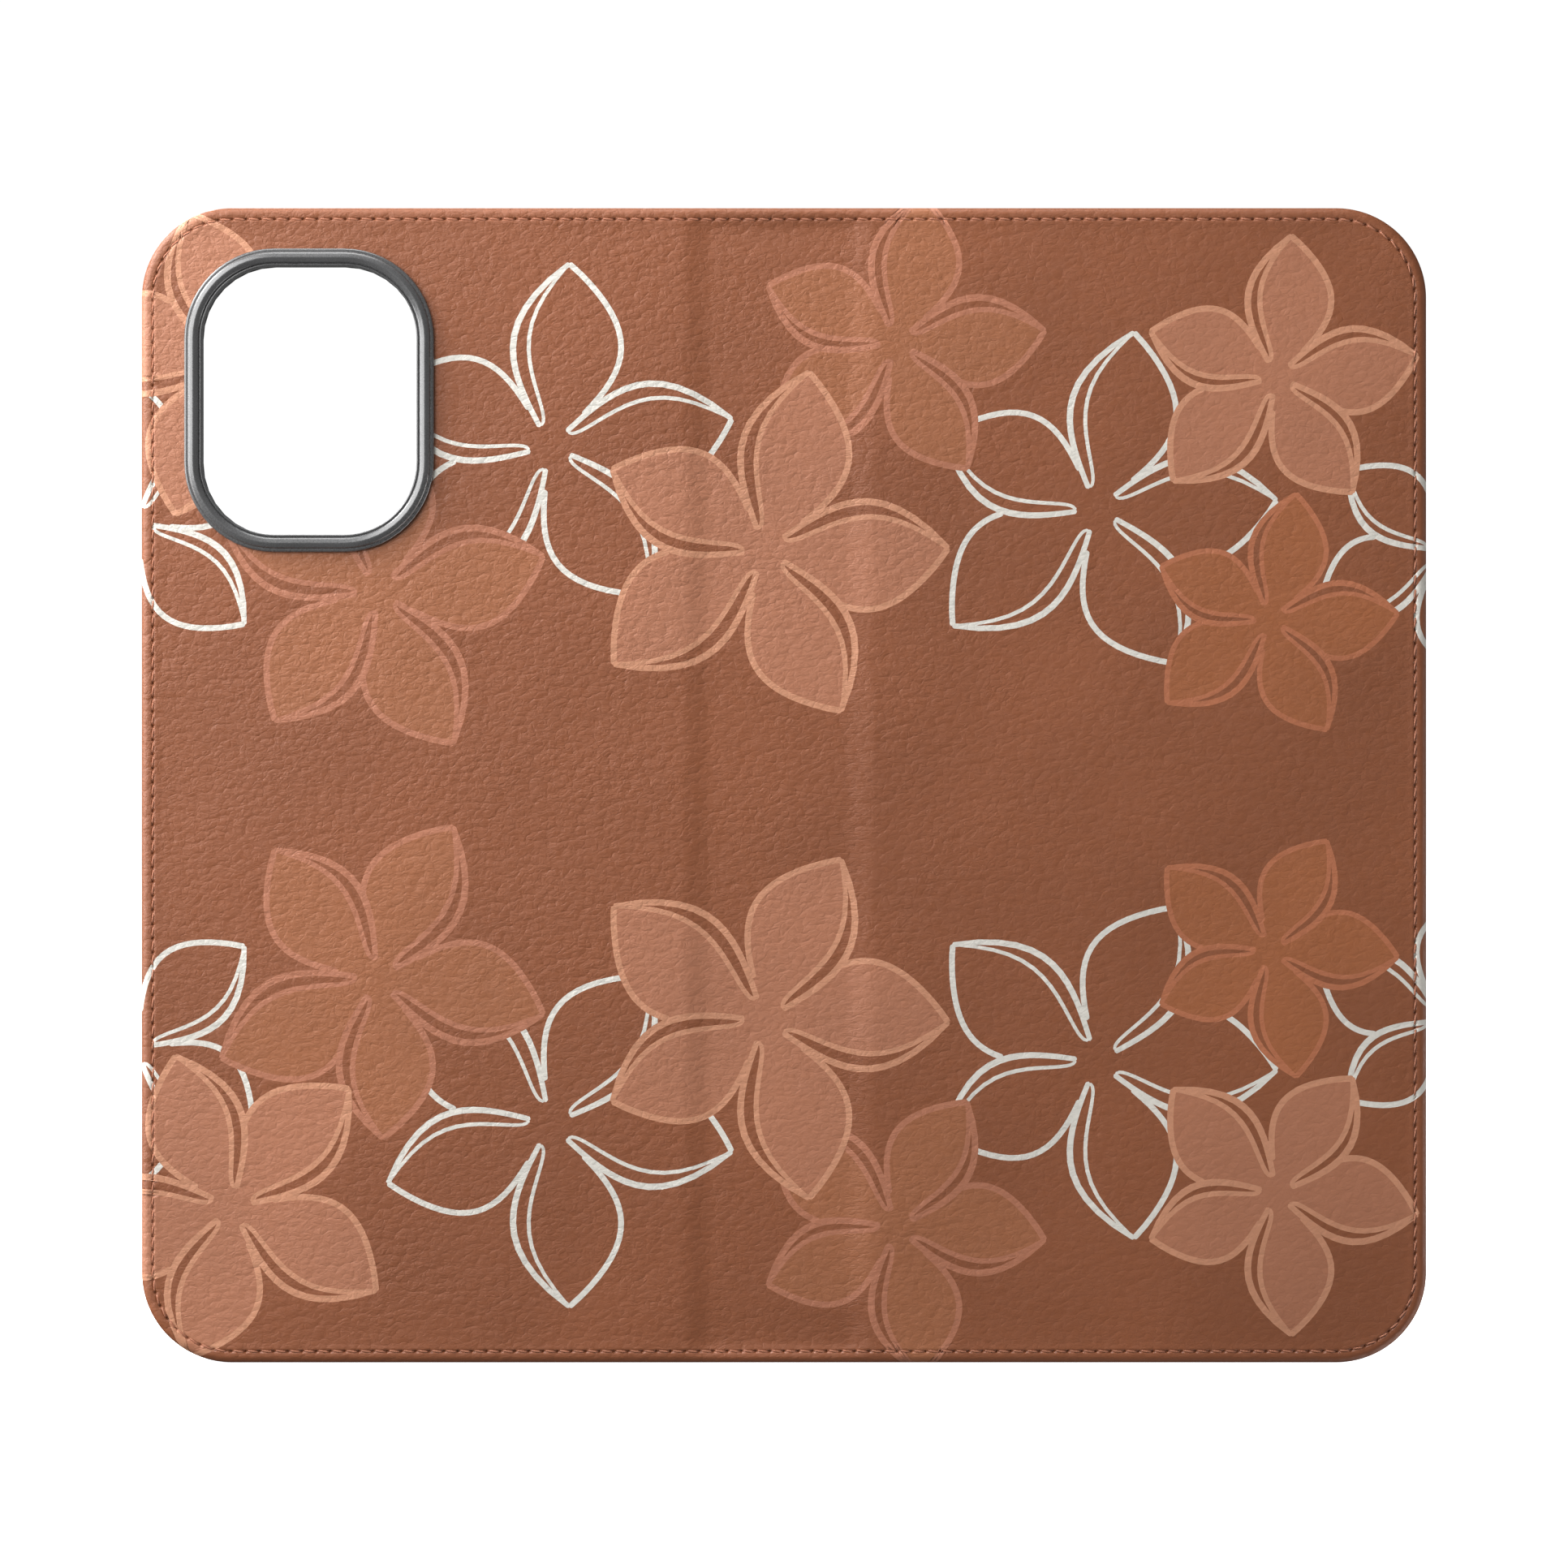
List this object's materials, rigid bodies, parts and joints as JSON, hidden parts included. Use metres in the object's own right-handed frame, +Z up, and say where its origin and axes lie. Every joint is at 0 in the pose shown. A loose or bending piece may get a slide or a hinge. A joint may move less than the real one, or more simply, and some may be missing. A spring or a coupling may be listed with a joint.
{
  "type": "folio phone case",
  "caption": "Book-style leather phone case with a snap-in shell, camera cut-out with guard ring, hinged spine, cover and card pockets.",
  "frame": {"origin": "middle of the shell's floor, where the phone's back lies", "axes": "+Y out of the shell's mouth, from the outer leather to the inside; +X from the back panel over the spine to the cover; +Z up the phone"},
  "size_m": [0.1858, 0.0142, 0.167],
  "materials": {
    "leather": "grained leather with a printed blossom pattern",
    "lining": "matte smooth lining",
    "board": "pressed fibre board",
    "adhesive": "double-sided sheet",
    "shell_plastic": "fine satin",
    "ring_plastic": "smoky gloss",
    "thread": "twisted polyester",
    "steel": "plain"
  },
  "bodies": {
    "back_panel": {"phone_shell": "shell_plastic", "shell_adhesive_pad": "adhesive", "camera_guard_ring": "ring_plastic", "back_leather": "leather", "back_board": "board", "back_lining": "lining", "back_outer_stitching": "thread", "back_inner_stitching": "thread", "keeper_plate_upper": "steel", "keeper_plate_lower": "steel"},
    "spine": {"spine_leather": "leather", "spine_board": "board", "spine_lining": "lining", "spine_outer_stitching_upper": "thread", "spine_outer_stitching_lower": "thread", "spine_inner_stitching_upper": "thread", "spine_inner_stitching_lower": "thread"},
    "front_cover": {"cover_leather": "leather", "cover_board": "board", "cover_lining": "lining", "cover_outer_stitching": "thread", "cover_inner_stitching": "thread", "cash_pocket": "lining", "cash_pocket_stitching": "thread", "card_pocket_back": "lining", "card_pocket_middle": "lining", "card_pocket_front": "lining", "card_pocket_stitching": "thread", "cover_magnet_upper": "steel", "cover_magnet_lower": "steel"}
  },
  "joints": [
    {"name": "spine_fold", "type": "hinge", "parent": "back_panel", "child": "spine", "pos_m": [0.0429, -0.0032, 0], "axis": [0, 0, 1], "range_deg": [-90, 90]},
    {"name": "cover_fold", "type": "hinge", "parent": "spine", "child": "front_cover", "pos_m": [0.0619, -0.0032, 0], "axis": [0, 0, 1], "range_deg": [-90, 90]}
  ]
}
